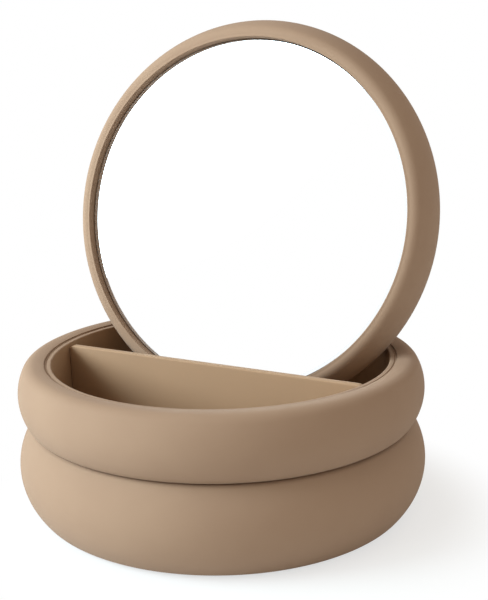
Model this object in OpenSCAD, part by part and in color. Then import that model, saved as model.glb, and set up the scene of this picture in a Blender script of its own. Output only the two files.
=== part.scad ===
// Round jewelry box of three puffed rounds: a lower bowl, an upper tray that stacks on it, and a mirror lid.
// The lid is shown taken off: it stands in the rear half of the tray and leans back as a dressing mirror.

/* [Lower bowl] */
// How far the bowl's side stands out beyond the tray's
bowl_proud = 1.8; // [0.6:0.2:5]
// Height of the lower bowl
bowl_h = 37.3; // [34:0.1:46]
// How far the bowl's side draws in from its widest to its flat edges
bowl_draw = 8.4; // [7.4:0.2:9]
// Radius of the bowl's rounded edges
bowl_edge = 3; // [2.6:0.1:5]

/* [Upper tray] */
// Height of the upper tray
tray_h = 27; // [24:0.1:36]
// How far the tray's side draws in from its widest to its flat edges
tray_draw = 7.7; // [6.6:0.1:8.2]
// Radius of the tray's rounded edges
tray_edge = 5.6; // [3:0.1:6]
// Inner radius of the tray's cup
mouth_r = 73.2; // [60:0.2:84]
// Width of the tray's puffed wall, from the cup's inside to its widest
tray_wall = 15; // [14:0.1:20]
// How far the cup's floor lies below the joint between bowl and tray
cup_drop = 5; // [3:0.2:12]
// How far the cup's rim lies below the tray's top
rim_drop = 1; // [0.8:0.1:1.4]
// How far the shell's inner edge lies below the tray's top
crest_drop = 0.2; // [0.1:0.1:0.6]
// Width of the groove between the cup's rim and the shell
groove_w = 1; // [0.8:0.1:1.6]
// Depth of that groove
groove_d = 0.7; // [0.5:0.1:1.4]

/* [Divider] */
// Thickness of the divider
divider_t = 3.4; // [2:0.2:5]
// Distance of the divider's middle in front of the box's axis
divider_front = 13.2; // [6:0.1:24]
// How far the divider's top lies below the tray's top
divider_drop = 2; // [0:0.2:8]
// Radius of the divider's top corners
divider_corner = 2.4; // [1:0.2:6]
// Gap between the divider's ends and the cup's wall
divider_gap = 0.8; // [0.4:0.1:2]
// Height of the ribs that hold the divider's foot
rib_h = 5; // [3:0.5:10]
// Thickness of those ribs
rib_t = 1.6; // [1:0.2:2.4]

/* [Lid] */
// How far the lid's side stands in from the tray's
lid_inset = 3.4; // [1:0.1:4.6]
// Thickness of the lid at its side
lid_h = 30.8; // [28:0.2:36]
// How far the lid's side draws in from its widest to its flat edges
lid_draw = 8; // [7:0.1:9]
// Radius of the lid's rounded edges
lid_edge = 4.6; // [3:0.1:6]
// Height of the soft crown on the lid's back
lid_crown = 2.4; // [1:0.2:5]
// Thickness of the dish that holds the mirror
dish_t = 1; // [0.8:0.1:2]
// Height of the dish's locating lip
ring_h = 0.4; // [0.2:0.1:0.8]
// Thickness of that lip at its tip
ring_t = 0.5; // [0.4:0.1:0.6]

/* [Mirror] */
// Depth of the mirror's face below the lid's rim
mirror_recess = 3.6; // [2:0.2:8]
// Thickness of the mirror's glass
glass_t = 3; // [2:0.5:5]
// Width of the ground bevel round the glass
glass_bevel = 1.5; // [0.6:0.1:3]
// Gap round the glass
glass_gap = 0.5; // [0.3:0.1:1]
// Thickness of the foam tape behind the glass
tape_t = 1; // [0.5:0.1:2]
// Distance of the middle of the ring of tape from the glass's edge
tape_in = 15; // [11:0.5:20]
// Width of that ring
tape_w = 14; // [6:1:20]

/* [Lid as it stands] */
// Angle at which the standing lid leans back
lid_lean = 10.2; // [6:0.2:14]
// Angle at which the standing lid is turned from the divider
lid_turn = 3.4; // [-6:0.2:6]
// Gap left under the standing lid
rest_gap = 0.3; // [0.2:0.1:1]
// Gap left beside the standing lid, where the mouth of the tray holds it
wedge_gap = 0.5; // [0.3:0.1:1]

/* [Walls and fits] */
// Thickness of the puffed shells
skin = 2.2; // [1.8:0.1:2.4]
// Thickness of the cups' walls
cup_t = 2; // [1.6:0.1:2.4]
// Thickness of the cups' floors
floor_t = 2.2; // [1.6:0.1:3]
// Radius of the cove between a cup's floor and its wall
cove = 3; // [1:0.5:6]
// Radius of the cups' rounded inner rims
rim_round = 0.6; // [0.3:0.1:0.9]
// Width of the cups' flanges under the shells
flange_w = 2; // [1.4:0.1:2.2]
// Thickness of those flanges
flange_t = 1.6; // [1.2:0.1:2.4]
// Thickness of the rim of the base plate and of the tray's closing ring
closer_rim = 1; // [0.8:0.1:1.4]
// Clearance between fixed pieces
fit_gap = 0.1; // [0.05:0.05:0.2]
// Clearance between the tray's cup and the mouth of the bowl
nest_gap = 0.4; // [0.3:0.1:1]

/* [Base] */
// Number of feet, each with a screw behind it
feet = 4; // [3:1:8]
// Distance of the feet's middles from the mouth's edge
feet_in = 13.2; // [8:0.2:30]
// Diameter of a foot pad
foot_d = 14; // [10:0.5:20]
// Thickness of a foot pad
foot_t = 2; // [1.4:0.1:3]
// How far a foot pad stands proud of the base
foot_proud = 0.8; // [0.4:0.1:1.2]
// Space between the base plate and the floor of the bowl's cup
base_space = 6; // [5:0.5:12]

/* [Screws] */
// Thread diameter of the screws
screw_d = 2.6; // [2:0.1:3.5]
// Head diameter of the screws
screw_head = 5; // [4:0.1:6]
// Height of the sunk head
screw_sink = 1.4; // [1:0.1:1.8]
// Length of the screws
screw_l = 8; // [6:0.5:9]
// Diameter of the bosses that the screws go into
boss_d = 8; // [7:0.5:10]
// Distance of the lid's screws from the middle of the ring of tape
lid_screw_in = 20; // [16:1:30]

/* [Hidden] */
$fn = 180;
round_fn = 60;
over = 1;
lap = 0.1;
cross = 0.02;
taupe = "#a78c6f";

// Levels, from the table up
base_z = foot_proud;
joint_z = base_z + bowl_h;
top_z = joint_z + tray_h;
cup_floor = joint_z - cup_drop;
rim_z = top_z - rim_drop;
seat_z = top_z - crest_drop - skin;
bowl_floor_under = base_z + skin + base_space;
bowl_floor = bowl_floor_under + floor_t;
pocket_z = base_z + foot_t - foot_proud;
plate_boss_z = pocket_z + screw_sink + over;

// Radii of what nests and seats, from the mouth outwards
tray_r = mouth_r + tray_wall;
bowl_r = tray_r + bowl_proud;
lid_r = tray_r - lid_inset;
feet_r = mouth_r - feet_in;
cup_r = mouth_r + cup_t;
tray_hole = cup_r + groove_w;
tray_flange = tray_hole + flange_w;
bowl_mouth = cup_r + nest_gap;
bowl_cup = bowl_mouth + cup_t;
bowl_hole = bowl_cup + fit_gap;
bowl_flange = bowl_hole + flange_w;
bowl_flat = bowl_r - bowl_draw;
tray_flat = tray_r - tray_draw;
lid_flat = lid_r - lid_draw;
ring_r = cup_r + (groove_w - ring_t) / 2;
dish_r = ring_r + dish_t;
lid_hole = dish_r + fit_gap;
glass_r = ring_r - glass_gap;
tape_r = glass_r - tape_in;
lid_screw_r = tape_r - lid_screw_in;
dish_floor = mirror_recess + glass_t + tape_t;
dish_back = dish_floor + floor_t;
crown_at_screw = lid_crown * (1 - pow(lid_screw_r / lid_flat, 2));
inner_flat = lid_flat - 3 * skin;
inner_crown = lid_crown * pow(inner_flat / lid_flat, 2);
thread_gap = 0.05;

// The divider's slot
slot_half = divider_t / 2 + divider_gap / 2;
divider_half = sqrt(pow(mouth_r - divider_gap, 2) - pow(divider_front + divider_t / 2, 2));
rib_half = sqrt(pow(mouth_r - cove, 2) - pow(divider_front + slot_half + rib_t, 2));

// Radius of the side arc that meets an edge arc without a break
function side_arc(h, draw, edge) =
    (pow(draw, 2) + pow(h / 2 - edge, 2) - pow(edge, 2)) / (2 * (draw - edge));

// Half the angle that the side arc spans
function side_span(h, draw, edge) = atan2(h / 2 - edge, side_arc(h, draw, edge) - draw);

// The standing lid rests on the cup's floor and leans back until the mouth of the tray holds its sides
lid_arc = side_arc(lid_h, lid_draw, lid_edge);
lid_span = side_span(lid_h, lid_draw, lid_edge);
lid_z = cup_floor + rest_gap + (lid_r - lid_arc) * cos(lid_lean) + lid_h / 2 * sin(lid_lean) + lid_arc;

// Radius of the lid's side at a depth behind its rim
function lid_side(depth) =
    let (u = abs(depth - lid_h / 2))
    u <= lid_arc * sin(lid_span)
        ? lid_r - lid_arc + sqrt(pow(lid_arc, 2) - u * u)
        : lid_flat + sqrt(max(0, pow(lid_edge, 2) - pow(u - lid_h / 2 + lid_edge, 2)));

// Gap between the lid's side and one point of the cup's wall
function gap_at(back, turn, z) =
    let (
        dy = mouth_r * sin(turn) - back,
        dz = z - lid_z,
        depth = dy * cos(lid_lean) - dz * sin(lid_lean),
        along = dy * sin(lid_lean) + dz * cos(lid_lean)
    )
    depth < 0 || depth > lid_h ? mouth_r : norm([mouth_r * cos(turn), along]) - lid_side(depth);

// Least gap along the wall, for a lid that stands this far back
function least_gap(back) =
    min([for (turn = [0:2:90]) for (z = [rim_z:-3:cup_floor + cove]) gap_at(back, turn, z)]);

// Halves the span between a place that is clear and one that is not
function seat_back(clear, blocked, steps) =
    let (middle = (clear + blocked) / 2)
    steps == 0 ? clear
        : least_gap(middle) > wedge_gap ? seat_back(middle, blocked, steps - 1)
        : seat_back(clear, middle, steps - 1);

lid_back = seat_back(0, mouth_r / 2, 16);

// Outline of a puffed round: a wide side arc that runs into two edge arcs and flat faces.
// The side arc is drawn in by a hair, so that it crosses the edge arcs and leaves no sliver between them.
module puff(r, h, draw, edge) {
    arc = side_arc(h, draw, edge);
    span = side_span(h, draw, edge);
    join_r = r - arc + arc * cos(span);
    join_h = h / 2 - arc * sin(span);
    square([r - draw, h]);
    intersection() {
        translate([r - arc + cross, h / 2])
            circle(arc - cross);
        difference() {
            square([r + over, h]);
            for (side = [0, 1])
                translate([0, side * h])
                    mirror([0, side])
                        difference() {
                            polygon([
                                [r - draw, -over], [r - draw, 0], [join_r, join_h],
                                [r + over, join_h], [r + over, -over]
                            ]);
                            translate([r - draw, edge])
                                circle(edge);
                        }
        }
    }
}

// The same outline as a wall, with a top that may roll down by a sink towards its hole
module puff_wall(r, h, draw, edge, top_hole, sink)
    difference() {
        puff(r, h, draw, edge);
        translate([0, skin])
            puff(r - skin, h - 2 * skin - sink, draw - skin, edge - skin);
        if (sink > 0)
            roll_off(r - draw - lap, h, top_hole, sink + cross);
    }

// What lies above an arc that leaves a flat face and falls by a drop at the hole
module roll_off(flat_r, h, hole_r, drop) {
    reach = flat_r - hole_r;
    arc = (pow(reach, 2) + pow(drop, 2)) / (2 * drop);
    difference() {
        translate([hole_r - over, h - 2 * drop - over])
            square([reach + over, 2 * drop + 2 * over]);
        translate([flat_r, h - arc + cross])
            circle(arc);
    }
}

// Section of a puffed shell with a round hole in its top, an open underside and a rebate for its closer
module shell_section(r, h, draw, edge, top_hole, open_r, sink)
    difference() {
        puff_wall(r, h, draw, edge, top_hole, sink);
        translate([-over, h / 2])
            square([top_hole + over, h]);
        translate([-over, -over])
            square([open_r + fit_gap + over, h / 2 + 2 * over]);
        translate([-over, -over])
            square([r - draw + over, closer_rim + over]);
    }

// Section of a straight-walled cup with a cove at its floor and a flange that seats under a shell
module cup_section(r, floor_z, rim_z, flange_r, flange_z) {
    difference() {
        translate([0, floor_z - floor_t])
            square([r + cup_t, rim_z - floor_z + floor_t]);
        translate([-over, floor_z])
            square([r + over, rim_z - floor_z + over]);
        translate([r + cup_t, floor_z - floor_t])
            corner_cut(cup_t);
        translate([r, rim_z])
            rotate(180)
                corner_cut(rim_round);
    }
    translate([r + lap, floor_z - lap])
        corner_cut(cove + lap);
    translate([r + cup_t / 2, flange_z - flange_t])
        square([flange_r - r - cup_t / 2, flange_t]);
}

// What a rounded corner leaves of a square corner at the origin, up and to the left
module corner_cut(size)
    difference() {
        translate([-size, 0])
            square(size);
        translate([-size, size])
            circle(size, $fn = round_fn);
    }

// Section of a plate or ring that closes a shell from below, flush with its flat face
module closer_section(inner_r, flat_r, open_r)
    union() {
        translate([inner_r, 0])
            square([open_r - inner_r, skin]);
        translate([inner_r, 0])
            square([flat_r - fit_gap - inner_r, closer_rim]);
    }

// Copies set evenly round the axis
module around(count, radius)
    for (i = [0:count - 1])
        rotate(45 + i * 360 / count)
            translate([radius, 0])
                children();

// Sunk screw with its head's face at the origin, pointing up
module screw()
    union() {
        cylinder(d1 = screw_head, d2 = screw_d, h = screw_sink);
        cylinder(d = screw_d, h = screw_l);
    }

// Room for a screw: its sunk head, a clearance hole and nothing beyond
module screw_hole(depth)
    union() {
        translate([0, 0, -over])
            cylinder(d = screw_d + 2 * fit_gap, h = depth + 2 * over);
        cylinder(d1 = screw_head + 2 * fit_gap, d2 = screw_d + 2 * fit_gap, h = screw_sink);
        translate([0, 0, -over])
            cylinder(d = screw_head + 2 * fit_gap, h = over);
    }

// The lid's own frame has its rim at zero and its back upwards, as it lies when it closes the box
module standing()
    rotate(lid_turn)
        translate([0, lid_back, lid_z])
            rotate([-90 - lid_lean, 0, 0])
                children();

module lower_shell()
    color(taupe)
        translate([0, 0, base_z])
            rotate_extrude()
                shell_section(bowl_r, bowl_h, bowl_draw, bowl_edge, bowl_hole, bowl_flange, 0);

module bowl_liner()
    color(taupe)
        difference() {
            union() {
                rotate_extrude()
                    cup_section(bowl_mouth, bowl_floor, joint_z, bowl_flange, joint_z - skin);
                translate([0, 0, plate_boss_z])
                    around(feet, feet_r)
                        cylinder(d = boss_d, h = bowl_floor_under - plate_boss_z + floor_t / 2);
            }
            translate([0, 0, plate_boss_z - over])
                around(feet, feet_r)
                    cylinder(d = screw_d + 2 * thread_gap, h = pocket_z + screw_l - plate_boss_z + 2 * over);
        }

module base_plate()
    color(taupe)
        difference() {
            union() {
                translate([0, 0, base_z])
                    rotate_extrude()
                        closer_section(0, bowl_flat, bowl_flange);
                translate([0, 0, base_z + skin / 2])
                    around(feet, feet_r)
                        cylinder(d = boss_d, h = plate_boss_z - base_z - skin / 2);
            }
            translate([0, 0, pocket_z])
                around(feet, feet_r)
                    screw_hole(plate_boss_z - pocket_z);
            translate([0, 0, base_z - over])
                around(feet, feet_r)
                    cylinder(d = foot_d + 2 * fit_gap, h = pocket_z - base_z + over);
        }

module base_screws()
    color("silver")
        translate([0, 0, pocket_z])
            around(feet, feet_r)
                screw();

module foot_pads()
    color("#4a4038")
        around(feet, feet_r)
            cylinder(d = foot_d, h = foot_t);

module upper_shell()
    color(taupe)
        translate([0, 0, joint_z])
            rotate_extrude()
                shell_section(tray_r, tray_h, tray_draw, tray_edge, tray_hole, tray_flange, crest_drop);

module tray_liner()
    color(taupe) {
        rotate_extrude() {
            cup_section(mouth_r, cup_floor, rim_z, tray_flange, seat_z);
            translate([mouth_r + cup_t / 2, seat_z - flange_t])
                square([tray_hole - fit_gap - mouth_r - cup_t / 2, rim_z - groove_d - seat_z + flange_t]);
        }
        for (side = [-1, 1])
            translate([
                -rib_half, -divider_front + side * (slot_half + rib_t / 2) - rib_t / 2,
                cup_floor - floor_t / 2
            ])
                cube([2 * rib_half, rib_t, rib_h + floor_t / 2]);
    }

module tray_ring()
    color(taupe)
        translate([0, 0, joint_z])
            rotate_extrude()
                closer_section(cup_r + fit_gap, tray_flat, tray_flange);

module divider()
    color(taupe)
        translate([0, -divider_front + divider_t / 2, cup_floor])
            rotate([90, 0, 0])
                linear_extrude(divider_t)
                    difference() {
                        translate([-divider_half, 0])
                            square([2 * divider_half, top_z - divider_drop - cup_floor]);
                        for (side = [0, 1])
                            mirror([side, 0])
                                translate([divider_half, 0])
                                    divider_corners(top_z - divider_drop - cup_floor);
                    }

// The right end's rounded foot, which clears the cove, and its rounded top
module divider_corners(height) {
    translate([cross, -cross])
        corner_cut(cove + cross);
    translate([cross, height + cross])
        mirror([0, 1])
            corner_cut(divider_corner + cross);
}

module lid_shell()
    color(taupe)
        standing()
            difference() {
                union() {
                    rotate_extrude()
                        difference() {
                            union() {
                                puff(lid_r, lid_h, lid_draw, lid_edge);
                                crown(lid_h, lid_flat + lap, lid_crown);
                            }
                            translate([0, skin])
                                puff(lid_r - skin, lid_h - 2 * skin, lid_draw - skin, lid_edge - skin);
                            crown(lid_h - skin, inner_flat, inner_crown);
                            translate([-over, -over])
                                square([lid_hole + over, lid_h / 2]);
                        }
                    translate([0, 0, dish_back])
                        around(feet, lid_screw_r)
                            cylinder(d = boss_d, h = lid_h + crown_at_screw - skin / 2 - dish_back);
                }
                translate([0, 0, dish_back - over])
                    around(feet, lid_screw_r)
                        cylinder(d = screw_d + 2 * thread_gap, h = screw_l - floor_t + 2 * over);
            }

// Shallow dome over a flat face at this height, with a small flat at its middle
module crown(height, flat_r, rise) {
    dome = (pow(flat_r, 2) + pow(rise, 2)) / (2 * rise);
    intersection() {
        translate([0, height + rise - dome])
            circle(dome, $fn = 360);
        translate([0, height - skin / 4])
            square([flat_r + 2 * lap, rise + skin / 4 - cross]);
    }
}

module lid_dish()
    color(taupe)
        standing()
            difference() {
                rotate_extrude()
                    union() {
                        translate([ring_r, 0])
                            square([dish_t, dish_back]);
                        translate([0, dish_floor])
                            square([dish_r, floor_t]);
                        difference() {
                            polygon([
                                [ring_r, over], [ring_r, -ring_h], [ring_r + ring_t, -ring_h],
                                [dish_r, 0], [dish_r, over]
                            ]);
                            translate([ring_r, -ring_h])
                                rotate(-90)
                                    corner_cut(ring_t / 2);
                        }
                    }
                translate([0, 0, dish_floor])
                    around(feet, lid_screw_r)
                        screw_hole(floor_t);
            }

module lid_screws()
    color("silver")
        standing()
            translate([0, 0, dish_floor])
                around(feet, lid_screw_r)
                    screw();

module mirror_tape()
    color("#5a5a5a")
        standing()
            translate([0, 0, dish_floor - tape_t])
                rotate_extrude()
                    translate([tape_r - tape_w / 2, 0])
                        square([tape_w, tape_t]);

module mirror_glass()
    color("#e4ecee")
        standing()
            translate([0, 0, mirror_recess])
                rotate_extrude()
                    polygon([
                        [0, 0], [glass_r - glass_bevel, 0], [glass_r, glass_bevel / 3],
                        [glass_r, glass_t], [0, glass_t]
                    ]);

lower_shell();
bowl_liner();
base_plate();
base_screws();
foot_pads();
upper_shell();
tray_liner();
tray_ring();
divider();
lid_shell();
lid_dish();
lid_screws();
mirror_tape();
mirror_glass();
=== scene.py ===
import math

import bmesh
import bpy
from mathutils import Matrix, Vector


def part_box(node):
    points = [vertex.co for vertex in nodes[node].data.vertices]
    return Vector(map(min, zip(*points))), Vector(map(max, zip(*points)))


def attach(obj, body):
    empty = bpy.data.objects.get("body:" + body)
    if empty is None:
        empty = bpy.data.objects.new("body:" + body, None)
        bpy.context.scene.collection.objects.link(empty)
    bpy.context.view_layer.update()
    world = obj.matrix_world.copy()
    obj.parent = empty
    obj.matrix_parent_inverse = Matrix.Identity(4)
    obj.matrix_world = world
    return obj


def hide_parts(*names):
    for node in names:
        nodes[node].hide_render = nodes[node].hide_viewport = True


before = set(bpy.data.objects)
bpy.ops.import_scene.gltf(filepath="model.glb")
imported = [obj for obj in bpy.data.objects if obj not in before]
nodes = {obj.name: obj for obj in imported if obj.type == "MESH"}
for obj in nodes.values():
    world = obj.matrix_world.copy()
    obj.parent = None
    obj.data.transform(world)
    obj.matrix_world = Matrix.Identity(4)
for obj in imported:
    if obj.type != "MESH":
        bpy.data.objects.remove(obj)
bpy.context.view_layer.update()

# Sizes of the box in millimetres, as in the part's source
BASE_Z = 0.8
BOWL_R, BOWL_H, BOWL_DRAW, BOWL_EDGE = 90.0, 37.3, 8.4, 3.0
TRAY_R, TRAY_H, TRAY_DRAW, TRAY_EDGE = 88.2, 27.0, 7.7, 5.6
LID_R, LID_H, LID_DRAW, LID_EDGE = 84.8, 30.8, 8.0, 4.6
LID_CROWN = 2.4
SKIN, CUP_T, FLOOR_T, COVE = 2.2, 2.0, 2.2, 3.0
FLANGE_W, FLANGE_T, CLOSER_RIM = 2.0, 1.6, 1.0
FIT_GAP, NEST_GAP = 0.1, 0.4
MOUTH_R, CUP_DROP, RIM_DROP, CREST_DROP = 73.2, 5.0, 1.0, 0.2
GROOVE_W, RIM_ROUND = 1.0, 0.6
DIVIDER_T, DIVIDER_FRONT, DIVIDER_DROP = 3.4, 13.2, 2.0
DIVIDER_CORNER, DIVIDER_GAP = 2.4, 0.8
RIB_H, RIB_T = 5.0, 1.6
DISH_T, RING_T = 1.0, 0.5
MIRROR_RECESS, GLASS_T, GLASS_BEVEL, GLASS_GAP, TAPE_T = 3.6, 3.0, 1.5, 0.5, 1.0
LID_LEAN, LID_TURN = math.radians(10.2), math.radians(3.4)

# Drawn softer or closer than the solids, by a fraction of a millimetre
CREST_FALL, GROOVE_SOFT, DIVIDER_END = 0.45, 0.2, 0.08
LIP_SHOW, BEVEL_FALL = 0.15, 0.015

# What follows from those sizes
JOINT_Z = BASE_Z + BOWL_H
TOP_Z = JOINT_Z + TRAY_H
CUP_FLOOR = JOINT_Z - CUP_DROP
RIM_Z = TOP_Z - RIM_DROP
CUP_R = MOUTH_R + CUP_T
TRAY_HOLE = CUP_R + GROOVE_W
TRAY_FLANGE = TRAY_HOLE + FLANGE_W
BOWL_HOLE = CUP_R + NEST_GAP + CUP_T + FIT_GAP
BOWL_FLANGE = BOWL_HOLE + FLANGE_W
RING_R = CUP_R + (GROOVE_W - RING_T) / 2
DISH_R = RING_R + DISH_T
LID_HOLE = DISH_R + FIT_GAP
GLASS_R = RING_R - GLASS_GAP
DISH_FLOOR = MIRROR_RECESS + GLASS_T + TAPE_T
DISH_BACK = DISH_FLOOR + FLOOR_T

# How finely the turned pieces are made
TURNS = 256
SOFT = 0.45
CRISP = 0.2
WELD = 0.0005
SHARP_ANGLE, MIRROR_SHARP = 32, 0.4
MM = 0.001

# Finishes: scales of the noises, roughness, and the strength and depth in metres of the bumps
CLOUD_SCALE, CLOUD_LOW, CLOUD_HIGH = 34, 0.3, 0.7
PEBBLE_SCALE, PEBBLE_BUMP, PEBBLE_DEPTH = 2600, 0.06, 0.0002
SOFT_ROUGH_LOW, SOFT_ROUGH_HIGH, SHEEN_ROUGH = 0.7, 0.82, 0.5
SOFT_GLOSS, DIVIDER_GLOSS, SHEEN = 0.08, 0.3, 0.03
WAVE_SCALE, WAVE_ROUGH = 9, 0.02
GRIND_SCALE, GRIND_ROUGH, GRIND_METAL = 1800, 0.06, 0.92
GRAIN_DEPTH = 0.0003

# Stage in metres: the floor's fade around the box, the glowing card before the mirror's foot that paints a
# white reflection into the mirror, and the light
FLOOR_HALF, FLOOR_DROP = 12, 0.0002
FADE_MIDDLE, FADE_START, FADE_END = (0.02, -0.01, 0), 0.078, 0.122
FLOOR_MATTE, FLOOR_GLOW, FLOOR_UNSEEN = 0.27, 0.65, 0.8
CARD_Y, CARD_Z, CARD_HALF_W, CARD_HALF_H = -0.006, 0.05, 0.072, 0.017
SURROUNDINGS, WARM = 0.736, (1, 0.9, 0.76, 1)
COOL = (0.74, 0.915, 1.0)
LAMP_AIM = (0, 0, 0.06)
WHITE = (1, 1, 1, 1)


class Section:
    """Half section of a turned piece, drawn point by point in the XZ plane in millimetres."""

    def __init__(self, r, z):
        self.bm = bmesh.new()
        self.first = self.tip = self.bm.verts.new((r, 0, z))

    def line(self, r, z):
        made = bmesh.ops.extrude_vert_indiv(self.bm, verts=[self.tip])
        self.tip = made["verts"][0]
        self.tip.co = (r, 0, z)

    def arc(self, r, z, degrees, steps):
        made = bmesh.ops.spin(
            self.bm, geom=[self.tip], cent=(r, 0, z), axis=(0, -1, 0),
            angle=math.radians(degrees), steps=steps,
        )
        self.tip = next(v for v in made["geom_last"] if isinstance(v, bmesh.types.BMVert))

    def close(self):
        self.bm.edges.new((self.tip, self.first))

    def turn(self):
        bmesh.ops.remove_doubles(self.bm, verts=self.bm.verts, dist=WELD)
        bmesh.ops.spin(
            self.bm, geom=self.bm.verts[:] + self.bm.edges[:], cent=(0, 0, 0), axis=(0, 0, 1),
            angle=math.tau, steps=TURNS, use_merge=True,
        )
        bmesh.ops.remove_doubles(self.bm, verts=self.bm.verts, dist=WELD)
        bmesh.ops.recalc_face_normals(self.bm, faces=self.bm.faces)
        return self.bm


def finish_piece(bm, name, body, node, materials, place=None,
                 sharp=SHARP_ANGLE):
    """Makes a bmesh in millimetres into a smooth piece that stands for a CAD node."""
    bmesh.ops.scale(bm, vec=(MM, MM, MM), verts=bm.verts)
    if place is not None:
        bmesh.ops.transform(bm, matrix=place, verts=bm.verts)
    mesh = bpy.data.meshes.new(name)
    bm.to_mesh(mesh)
    bm.free()
    for polygon in mesh.polygons:
        polygon.use_smooth = True
    mesh.set_sharp_from_angle(angle=math.radians(sharp))
    for material in materials:
        mesh.materials.append(material)
    piece = bpy.data.objects.new(name, mesh)
    bpy.context.scene.collection.objects.link(piece)
    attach(piece, body)
    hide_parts(node)
    return piece


def side_arc(h, draw, edge):
    return (draw ** 2 + (h / 2 - edge) ** 2 - edge ** 2) / (2 * (draw - edge))


def side_span(h, draw, edge):
    return math.degrees(math.atan2(h / 2 - edge, side_arc(h, draw, edge) - draw))


# Materials

def shader(name):
    material = bpy.data.materials.new(name)
    material.use_nodes = True
    tree = material.node_tree
    return material, tree, tree.nodes["Principled BSDF"]


def soft_touch(name, light, dark, gloss):
    """Matte moulded plastic with a soft-touch coat: faint cloudy tone and a fine pebble."""
    material, tree, surface = shader(name)
    place = tree.nodes.new("ShaderNodeTexCoord")
    cloud = tree.nodes.new("ShaderNodeTexNoise")
    cloud.inputs["Scale"].default_value = CLOUD_SCALE
    cloud.inputs["Detail"].default_value = 3
    tone = tree.nodes.new("ShaderNodeValToRGB")
    tone.color_ramp.elements[0].position = CLOUD_LOW
    tone.color_ramp.elements[0].color = dark
    tone.color_ramp.elements[1].position = CLOUD_HIGH
    tone.color_ramp.elements[1].color = light
    pebble = tree.nodes.new("ShaderNodeTexNoise")
    pebble.inputs["Scale"].default_value = PEBBLE_SCALE
    pebble.inputs["Detail"].default_value = 2
    rough = tree.nodes.new("ShaderNodeMapRange")
    rough.inputs["To Min"].default_value = SOFT_ROUGH_LOW
    rough.inputs["To Max"].default_value = SOFT_ROUGH_HIGH
    bump = tree.nodes.new("ShaderNodeBump")
    bump.inputs["Strength"].default_value = PEBBLE_BUMP
    bump.inputs["Distance"].default_value = PEBBLE_DEPTH
    link = tree.links.new
    link(place.outputs["Object"], cloud.inputs["Vector"])
    link(place.outputs["Object"], pebble.inputs["Vector"])
    link(cloud.outputs["Fac"], tone.inputs["Fac"])
    link(tone.outputs["Color"], surface.inputs["Base Color"])
    link(pebble.outputs["Fac"], rough.inputs["Value"])
    link(rough.outputs["Result"], surface.inputs["Roughness"])
    link(pebble.outputs["Fac"], bump.inputs["Height"])
    link(bump.outputs["Normal"], surface.inputs["Normal"])
    surface.inputs["Specular IOR Level"].default_value = gloss
    surface.inputs["Sheen Weight"].default_value = SHEEN
    surface.inputs["Sheen Roughness"].default_value = SHEEN_ROUGH
    return material


def silvered_glass():
    """Silvered mirror glass, clean, with the faintest waviness."""
    material, tree, surface = shader("silvered_glass")
    place = tree.nodes.new("ShaderNodeTexCoord")
    wave = tree.nodes.new("ShaderNodeTexNoise")
    wave.inputs["Scale"].default_value = WAVE_SCALE
    rough = tree.nodes.new("ShaderNodeMapRange")
    rough.inputs["To Min"].default_value = 0
    rough.inputs["To Max"].default_value = WAVE_ROUGH
    tree.links.new(place.outputs["Object"], wave.inputs["Vector"])
    tree.links.new(wave.outputs["Fac"], rough.inputs["Value"])
    tree.links.new(rough.outputs["Result"], surface.inputs["Roughness"])
    surface.inputs["Base Color"].default_value = WHITE
    surface.inputs["Metallic"].default_value = 1
    return material


def ground_glass():
    """Ground bevel of the mirror plate, silvered behind and a little hazy."""
    material, tree, surface = shader("ground_glass")
    place = tree.nodes.new("ShaderNodeTexCoord")
    grind = tree.nodes.new("ShaderNodeTexNoise")
    grind.inputs["Scale"].default_value = GRIND_SCALE
    tone = tree.nodes.new("ShaderNodeValToRGB")
    tone.color_ramp.elements[0].color = (0.9, 0.93, 0.96, 1)
    tone.color_ramp.elements[1].color = (0.96, 0.98, 1, 1)
    tree.links.new(place.outputs["Object"], grind.inputs["Vector"])
    tree.links.new(grind.outputs["Fac"], tone.inputs["Fac"])
    tree.links.new(tone.outputs["Color"], surface.inputs["Base Color"])
    surface.inputs["Roughness"].default_value = GRIND_ROUGH
    surface.inputs["Metallic"].default_value = GRIND_METAL
    return material


def grained(name, dark, light, scale, roughness, metallic, grain):
    """Plain finish with a fine grain, for what is seen from below or hidden."""
    material, tree, surface = shader(name)
    place = tree.nodes.new("ShaderNodeTexCoord")
    speck = tree.nodes.new("ShaderNodeTexNoise")
    speck.inputs["Scale"].default_value = scale
    tone = tree.nodes.new("ShaderNodeValToRGB")
    tone.color_ramp.elements[0].color = dark
    tone.color_ramp.elements[1].color = light
    bump = tree.nodes.new("ShaderNodeBump")
    bump.inputs["Strength"].default_value = grain
    bump.inputs["Distance"].default_value = GRAIN_DEPTH
    tree.links.new(place.outputs["Object"], speck.inputs["Vector"])
    tree.links.new(speck.outputs["Fac"], tone.inputs["Fac"])
    tree.links.new(tone.outputs["Color"], surface.inputs["Base Color"])
    tree.links.new(speck.outputs["Fac"], bump.inputs["Height"])
    tree.links.new(bump.outputs["Normal"], surface.inputs["Normal"])
    surface.inputs["Roughness"].default_value = roughness
    surface.inputs["Metallic"].default_value = metallic
    return material


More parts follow.
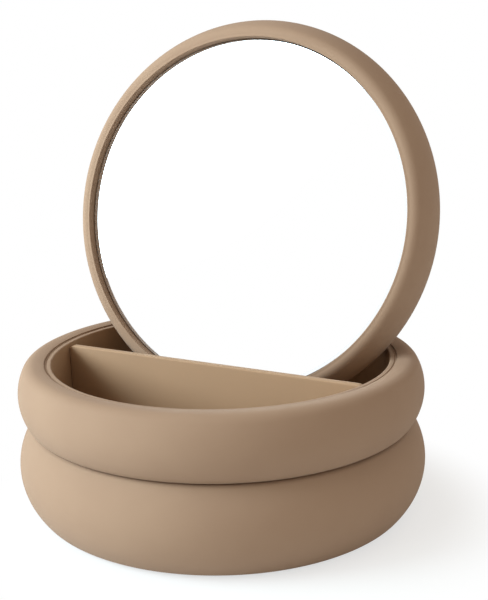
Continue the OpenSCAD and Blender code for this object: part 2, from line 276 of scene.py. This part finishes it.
taupe = soft_touch("taupe_soft_touch", (0.27, 0.175, 0.1165, 1), (0.255, 0.163, 0.1085, 1), SOFT_GLOSS)
# Lighter, warmer copy of the taupe for the cup's interior: painted warm shade that stands in for the bounce
# light inside the box
interior_painted_shade = soft_touch("taupe_interior_painted_shade", (0.303, 0.183, 0.103, 1), (0.288, 0.174, 0.098, 1), SOFT_GLOSS)
# The divider takes the same painted warm shade as the cup's interior; its higher gloss is a rendered
# reflection
divider_painted_shade = soft_touch("taupe_divider_painted_shade", (0.3, 0.181, 0.102, 1), (0.285, 0.172, 0.097, 1), DIVIDER_GLOSS)
silvered = silvered_glass()
ground = ground_glass()
pad_rubber = grained("pad_rubber", (0.05, 0.045, 0.04, 1), (0.09, 0.08, 0.07, 1), 900, 0.8, 0, 0.3)
steel = grained("plain_steel", (0.5, 0.5, 0.49, 1), (0.66, 0.65, 0.63, 1), 700, 0.35, 1, 0.05)
foam = grained("tape_foam", (0.08, 0.08, 0.08, 1), (0.16, 0.16, 0.16, 1), 1500, 0.95, 0, 0.6)


# Puffed shells

def puffed_shell(name, body, node, base, r, h, draw, edge, hole, open_r, sink):
    """Turned shell whose top falls by a sink to its round hole, open below with a rebate for its closer."""
    arc, span, flat = side_arc(h, draw, edge), side_span(h, draw, edge), r - draw
    middle, top = base + h / 2, base + h
    s = Section(hole, top - sink - SKIN)
    s.line(hole, top - sink - CRISP)
    s.arc(hole + CRISP, top - sink - CRISP, -90, 5)
    if sink > 0:
        crest = ((flat - hole - CRISP) ** 2 + sink ** 2) / (2 * sink)
        s.arc(flat, top - crest, -math.degrees(math.asin((flat - hole - CRISP) / crest)), 12)
    s.line(flat, top)
    s.arc(flat, top - edge, span - 90, 16)
    s.arc(r - arc, middle, -2 * span, 40)
    s.arc(flat, base + edge, span - 90, 16)
    s.line(flat, base + CLOSER_RIM)
    s.line(open_r + FIT_GAP, base + CLOSER_RIM)
    s.line(open_r + FIT_GAP, base + SKIN)
    s.line(flat, base + SKIN)
    s.arc(flat, base + edge, 90 - span, 6)
    s.arc(r - arc, middle, 2 * span, 20)
    s.arc(flat, top - edge, 90 - span, 6)
    s.line(flat, top - sink - SKIN)
    s.close()
    return finish_piece(s.turn(), name, body, node, [taupe])


puffed_shell("bowl_shell", "bowl", "lower_shell", BASE_Z, BOWL_R, BOWL_H, BOWL_DRAW, BOWL_EDGE,
             BOWL_HOLE, BOWL_FLANGE, 0)
puffed_shell("tray_shell", "tray", "upper_shell", JOINT_Z, TRAY_R, TRAY_H, TRAY_DRAW, TRAY_EDGE,
             TRAY_HOLE, TRAY_FLANGE, CREST_FALL)


# Cup of the tray, with the ribs that hold the divider's foot

def tray_cup():
    under, flange_top, groove = CUP_FLOOR - FLOOR_T, TOP_Z - CREST_DROP - SKIN, RIM_Z - GROOVE_SOFT
    s = Section(0, under)
    s.line(CUP_R - CUP_T, under)
    s.arc(CUP_R - CUP_T, under + CUP_T, 90, 8)
    s.line(CUP_R, flange_top - FLANGE_T)
    s.line(TRAY_FLANGE, flange_top - FLANGE_T)
    s.line(TRAY_FLANGE, flange_top)
    s.line(TRAY_HOLE - FIT_GAP, flange_top)
    s.line(TRAY_HOLE - FIT_GAP, groove + CRISP)
    s.line(CUP_R + CRISP, groove)
    s.arc(CUP_R + CRISP, groove + CRISP, -90, 5)
    s.line(CUP_R, RIM_Z - CRISP)
    s.arc(CUP_R - CRISP, RIM_Z - CRISP, 90, 5)
    s.line(MOUTH_R + RIM_ROUND, RIM_Z)
    s.arc(MOUTH_R + RIM_ROUND, RIM_Z - RIM_ROUND, 90, 8)
    s.line(MOUTH_R, CUP_FLOOR + COVE)
    s.arc(MOUTH_R - COVE, CUP_FLOOR + COVE, -90, 10)
    s.line(0, CUP_FLOOR)
    bm = s.turn()
    # Painted shade: the cup below its lip takes the interior copy, and the lip's top faces keep the outer
    # taupe
    for face in bm.faces:
        face.material_index = int(face.calc_center_median().z > RIM_Z - RIM_ROUND / 2)
    slot_half = (DIVIDER_T + DIVIDER_GAP) / 2
    reach = math.sqrt((MOUTH_R - COVE) ** 2 - (DIVIDER_FRONT + slot_half + RIB_T) ** 2)
    for side in (-1, 1):
        y = -DIVIDER_FRONT + side * (slot_half + RIB_T / 2)
        place = Matrix.Translation((0, y, CUP_FLOOR + RIB_H / 2 - FLOOR_T / 4))
        size = Matrix.Diagonal((2 * reach, RIB_T, RIB_H + FLOOR_T / 2, 1))
        made = bmesh.ops.create_cube(bm, size=1, matrix=place @ size)
        edges = {e for v in made["verts"] for e in v.link_edges}
        bmesh.ops.bevel(bm, geom=list(edges), offset=SOFT, affect="EDGES", segments=3, profile=0.5,
                        material=-1)
    return finish_piece(bm, "tray_cup", "tray", "tray_liner", [interior_painted_shade, taupe])


tray_cup()


# Divider: a plate with rounded top corners and eased edges

def divider_plate():
    height = TOP_Z - DIVIDER_DROP - CUP_FLOOR
    half = math.sqrt((MOUTH_R - DIVIDER_END) ** 2 - (DIVIDER_FRONT + DIVIDER_T / 2) ** 2)
    bm = bmesh.new()
    place = Matrix.Translation((0, -DIVIDER_FRONT, CUP_FLOOR + height / 2))
    bmesh.ops.create_cube(bm, size=1, matrix=place @ Matrix.Diagonal((2 * half, DIVIDER_T, height, 1)))
    middle = CUP_FLOOR + height / 2
    ends = [e for e in bm.edges if abs(e.verts[0].co.y - e.verts[1].co.y) > 1]
    for top, radius in ((True, DIVIDER_CORNER), (False, COVE)):
        corner = [e for e in ends if e.is_valid and (e.verts[0].co.z > middle) == top]
        bmesh.ops.bevel(bm, geom=corner, offset=radius, affect="EDGES", segments=10, profile=0.5,
                        material=-1)
    rims = [e for e in bm.edges if abs(e.verts[0].co.y - e.verts[1].co.y) < 0.01]
    bmesh.ops.bevel(bm, geom=rims, offset=SOFT, affect="EDGES", segments=4, profile=0.5, material=-1)
    bmesh.ops.recalc_face_normals(bm, faces=bm.faces)
    return finish_piece(bm, "divider_plate", "divider", "divider", [divider_painted_shade])


divider_plate()


# The lid's own frame has its rim at zero and its back upwards; its place is read from the tape's solid

def standing():
    low, high = (Vector(corner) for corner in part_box("mirror_tape"))
    turn = Matrix.Rotation(LID_TURN, 4, "Z") @ Matrix.Rotation(-math.pi / 2 - LID_LEAN, 4, "X")
    depth = (MIRROR_RECESS + GLASS_T + TAPE_T / 2) * MM
    rim = (low + high) / 2 - turn.to_3x3() @ Vector((0, 0, depth))
    return Matrix.Translation(rim) @ turn


lid_place = standing()


def lid_puff():
    arc, span, flat = (side_arc(LID_H, LID_DRAW, LID_EDGE), side_span(LID_H, LID_DRAW, LID_EDGE),
                       LID_R - LID_DRAW)
    inner_flat = flat - 3 * SKIN
    inner_crown = LID_CROWN * (inner_flat / flat) ** 2
    dome = (flat ** 2 + LID_CROWN ** 2) / (2 * LID_CROWN)
    inner_dome = (inner_flat ** 2 + inner_crown ** 2) / (2 * inner_crown)
    s = Section(0, LID_H - SKIN + inner_crown)
    inner_span = math.degrees(math.asin(inner_flat / inner_dome))
    s.arc(0, LID_H - SKIN + inner_crown - inner_dome, -inner_span, 12)
    s.line(flat, LID_H - SKIN)
    s.arc(flat, LID_H - LID_EDGE, span - 90, 6)
    s.arc(LID_R - arc, LID_H / 2, -2 * span, 20)
    s.arc(flat, LID_EDGE, span - 90, 6)
    s.line(LID_HOLE, SKIN)
    s.line(LID_HOLE, 0)
    s.line(flat, 0)
    s.arc(flat, LID_EDGE, 90 - span, 16)
    s.arc(LID_R - arc, LID_H / 2, 2 * span, 40)
    s.arc(flat, LID_H - LID_EDGE, 90 - span, 16)
    s.arc(0, LID_H + LID_CROWN - dome, math.degrees(math.asin(flat / dome)), 16)
    s.tip.co.x = 0
    return finish_piece(s.turn(), "lid_puff", "lid", "lid_shell", [taupe], lid_place)


def mirror_dish():
    ease = RING_T / 2
    slope = math.degrees(math.atan2(LIP_SHOW, LID_HOLE - RING_R - RING_T))
    s = Section(0, DISH_BACK)
    s.line(DISH_R, DISH_BACK)
    s.line(DISH_R, SKIN)
    s.line(LID_HOLE, 0)
    lean = math.radians(slope)
    s.line(RING_R + ease + ease * math.sin(lean), -LIP_SHOW + ease - ease * math.cos(lean))
    s.arc(RING_R + ease, -LIP_SHOW + ease, -slope, 4)
    s.arc(RING_R + ease, -LIP_SHOW + ease, -90, 6)
    s.line(RING_R, DISH_FLOOR)
    s.line(0, DISH_FLOOR)
    return finish_piece(s.turn(), "mirror_dish", "lid", "lid_dish", [taupe], lid_place)


def mirror_plate():
    s = Section(0, MIRROR_RECESS)
    s.line(GLASS_R - GLASS_BEVEL, MIRROR_RECESS)
    s.line(GLASS_R, MIRROR_RECESS + BEVEL_FALL)
    s.line(GLASS_R, MIRROR_RECESS + GLASS_T)
    s.line(0, MIRROR_RECESS + GLASS_T)
    bm = s.turn()
    for face in bm.faces:
        face.material_index = int(face.calc_center_median().length > GLASS_R - GLASS_BEVEL)
    return finish_piece(bm, "mirror_plate", "lid", "mirror_glass", [silvered, ground], lid_place,
                        MIRROR_SHARP)


lid_puff()
mirror_dish()
mirror_plate()

# Finishes of the solids that stay as they are
for names, finish in (
    (("bowl_liner", "base_plate", "tray_ring"), taupe),
    (("foot_pads",), pad_rubber),
    (("base_screws", "lid_screws"), steel),
    (("mirror_tape",), foam),
):
    for name in names:
        nodes[name].data.materials.clear()
        nodes[name].data.materials.append(finish)


# Floor and light

def pale_floor():
    """White floor that keeps the box's shadow beside it and fades to plain white, also in the mirror."""
    bm = bmesh.new()
    place = Matrix.Translation((0, 0, -FLOOR_DROP))
    bmesh.ops.create_grid(bm, x_segments=1, y_segments=1, size=FLOOR_HALF, matrix=place)
    mesh = bpy.data.meshes.new("floor")
    bm.to_mesh(mesh)
    bm.free()
    floor = bpy.data.objects.new("floor", mesh)
    bpy.context.scene.collection.objects.link(floor)
    material = bpy.data.materials.new("pale_floor")
    material.use_nodes = True
    tree = material.node_tree
    tree.nodes.clear()
    link = tree.links.new
    out = tree.nodes.new("ShaderNodeOutputMaterial")
    matte = tree.nodes.new("ShaderNodeBsdfDiffuse")
    glow = tree.nodes.new("ShaderNodeEmission")
    glow.inputs["Color"].default_value = WHITE
    both = tree.nodes.new("ShaderNodeAddShader")
    spot = tree.nodes.new("ShaderNodeTexCoord")
    away = tree.nodes.new("ShaderNodeVectorMath")
    away.operation = "DISTANCE"
    away.inputs[1].default_value = FADE_MIDDLE
    link(spot.outputs["Object"], away.inputs[0])
    seen = seen_directly(tree)
    shades = []
    for near, far in ((FLOOR_MATTE, 0), (FLOOR_GLOW, 1)):
        fade = tree.nodes.new("ShaderNodeMapRange")
        fade.interpolation_type = "SMOOTHSTEP"
        fade.inputs["From Min"].default_value = FADE_START
        fade.inputs["From Max"].default_value = FADE_END
        fade.inputs["To Min"].default_value = near
        fade.inputs["To Max"].default_value = far
        link(away.outputs["Value"], fade.inputs["Value"])
        shades.append(fade.outputs["Result"])
    matte_shade = tree.nodes.new("ShaderNodeMapRange")
    matte_shade.inputs["To Min"].default_value = FLOOR_UNSEEN
    link(seen, matte_shade.inputs["Value"])
    link(shades[0], matte_shade.inputs["To Max"])
    link(matte_shade.outputs["Result"], matte.inputs["Color"])
    strength = tree.nodes.new("ShaderNodeMath")
    strength.operation = "MULTIPLY"
    link(seen, strength.inputs[0])
    link(shades[1], strength.inputs[1])
    link(strength.outputs[0], glow.inputs["Strength"])
    link(matte.outputs[0], both.inputs[0])
    link(glow.outputs[0], both.inputs[1])
    link(both.outputs[0], out.inputs["Surface"])
    mesh.materials.append(material)


def glowing_reflection_card():
    """Glowing white card before the mirror's foot, seen by the mirror alone: a painted white reflection where
    the mirror would show the divider.
    """
    bm = bmesh.new()
    place = Matrix.Translation((0, CARD_Y, CARD_Z)) @ Matrix.Rotation(math.pi / 2, 4, "X")
    size = Matrix.Diagonal((CARD_HALF_W, CARD_HALF_H, 1, 1))
    bmesh.ops.create_grid(bm, x_segments=1, y_segments=1, size=1, matrix=place @ size)
    mesh = bpy.data.meshes.new("card")
    bm.to_mesh(mesh)
    bm.free()
    card = bpy.data.objects.new("card", mesh)
    bpy.context.scene.collection.objects.link(card)
    material = bpy.data.materials.new("glowing_reflection_card")
    material.use_nodes = True
    tree = material.node_tree
    tree.nodes.clear()
    out = tree.nodes.new("ShaderNodeOutputMaterial")
    glow = tree.nodes.new("ShaderNodeEmission")
    tree.links.new(glow.outputs[0], out.inputs["Surface"])
    mesh.materials.append(material)
    card.visible_camera = card.visible_diffuse = card.visible_shadow = False


def seen_directly(tree):
    """One for what the camera sees, straight, in a mirror or through glass, and zero for light on the box."""
    path = tree.nodes.new("ShaderNodeLightPath")
    first = tree.nodes.new("ShaderNodeMath")
    first.operation = "MAXIMUM"
    second = tree.nodes.new("ShaderNodeMath")
    second.operation = "MAXIMUM"
    scattered = tree.nodes.new("ShaderNodeMath")
    scattered.operation = "SUBTRACT"
    scattered.use_clamp = True
    tree.links.new(path.outputs["Is Camera Ray"], first.inputs[0])
    tree.links.new(path.outputs["Is Glossy Ray"], first.inputs[1])
    tree.links.new(first.outputs[0], second.inputs[0])
    tree.links.new(path.outputs["Is Transmission Ray"], second.inputs[1])
    tree.links.new(second.outputs[0], scattered.inputs[0])
    tree.links.new(path.outputs["Diffuse Depth"], scattered.inputs[1])
    return scattered.outputs[0]


def white_surroundings():
    """Warm light on the box, and plain white where the surroundings are seen."""
    world = bpy.data.worlds.new("studio")
    bpy.context.scene.world = world
    world.use_nodes = True
    tree = world.node_tree
    back = tree.nodes["Background"]
    strength = tree.nodes.new("ShaderNodeMapRange")
    strength.inputs["To Min"].default_value = SURROUNDINGS
    strength.inputs["To Max"].default_value = 1
    colour = tree.nodes.new("ShaderNodeMix")
    colour.data_type = "RGBA"
    colour.inputs["A"].default_value = WARM
    colour.inputs["B"].default_value = WHITE
    seen = seen_directly(tree)
    tree.links.new(seen, strength.inputs["Value"])
    tree.links.new(seen, colour.inputs["Factor"])
    tree.links.new(strength.outputs["Result"], back.inputs["Strength"])
    tree.links.new(colour.outputs["Result"], back.inputs["Color"])


def soft_lamp(name, place, size, power):
    """Round lamp of a size in metres and a power in watts, turned to the box."""
    lamp = bpy.data.lights.new(name, "AREA")
    lamp.shape = "DISK"
    lamp.size = size
    lamp.energy = power
    lamp.color = COOL
    thing = bpy.data.objects.new(name, lamp)
    thing.location = place
    thing.rotation_euler = (Vector(LAMP_AIM) - Vector(place)).to_track_quat("-Z", "Y").to_euler()
    bpy.context.scene.collection.objects.link(thing)


pale_floor()
# Painted reflection: a glowing card, no lamp, that keeps the mirror's foot white
glowing_reflection_card()
white_surroundings()
soft_lamp("key", (-1.2, -0.85, 0.8), 1.0, 43.7)
soft_lamp("front", (-0.85, -1.2, 0.8), 1.2, 17.8)
soft_lamp("edge", (1.3, 0.75, 0.25), 0.8, 4.1)

# Camera at the photograph's angle, solved from the outlines; the frame is 488 by 600
FRAME_W, FRAME_H = 488, 600
FOCAL_PX, CENTRE_X, CENTRE_Y = 911.37, 221.465, 403.218
AZIMUTH, ELEVATION, ROLL = math.radians(29.312), math.radians(19.127), math.radians(-1.379)
DISTANCE, AIM = 0.40734, Vector((0, 0, 0.0408))
SENSOR_MM, CLIP_START = 36, 0.01


def photo_camera():
    back = Vector((math.sin(AZIMUTH) * math.cos(ELEVATION), -math.cos(AZIMUTH) * math.cos(ELEVATION),
                   math.sin(ELEVATION)))
    right = Vector((math.cos(AZIMUTH), math.sin(AZIMUTH), 0))
    up = back.cross(right)
    right, up = (right * math.cos(ROLL) + up * math.sin(ROLL),
                 up * math.cos(ROLL) - right * math.sin(ROLL))
    lens = bpy.data.cameras.new("camera")
    lens.sensor_width = SENSOR_MM
    lens.lens = FOCAL_PX / FRAME_H * lens.sensor_width
    lens.shift_x = (FRAME_W / 2 - CENTRE_X) / FRAME_H
    lens.shift_y = (CENTRE_Y - FRAME_H / 2) / FRAME_H
    lens.clip_start = CLIP_START
    camera = bpy.data.objects.new("camera", lens)
    turn = Matrix((right, up, back)).transposed().to_4x4()
    camera.matrix_world = Matrix.Translation(AIM + back * DISTANCE) @ turn
    bpy.context.scene.collection.objects.link(camera)
    bpy.context.scene.camera = camera


photo_camera()
bpy.context.scene.view_settings.view_transform = "Standard"
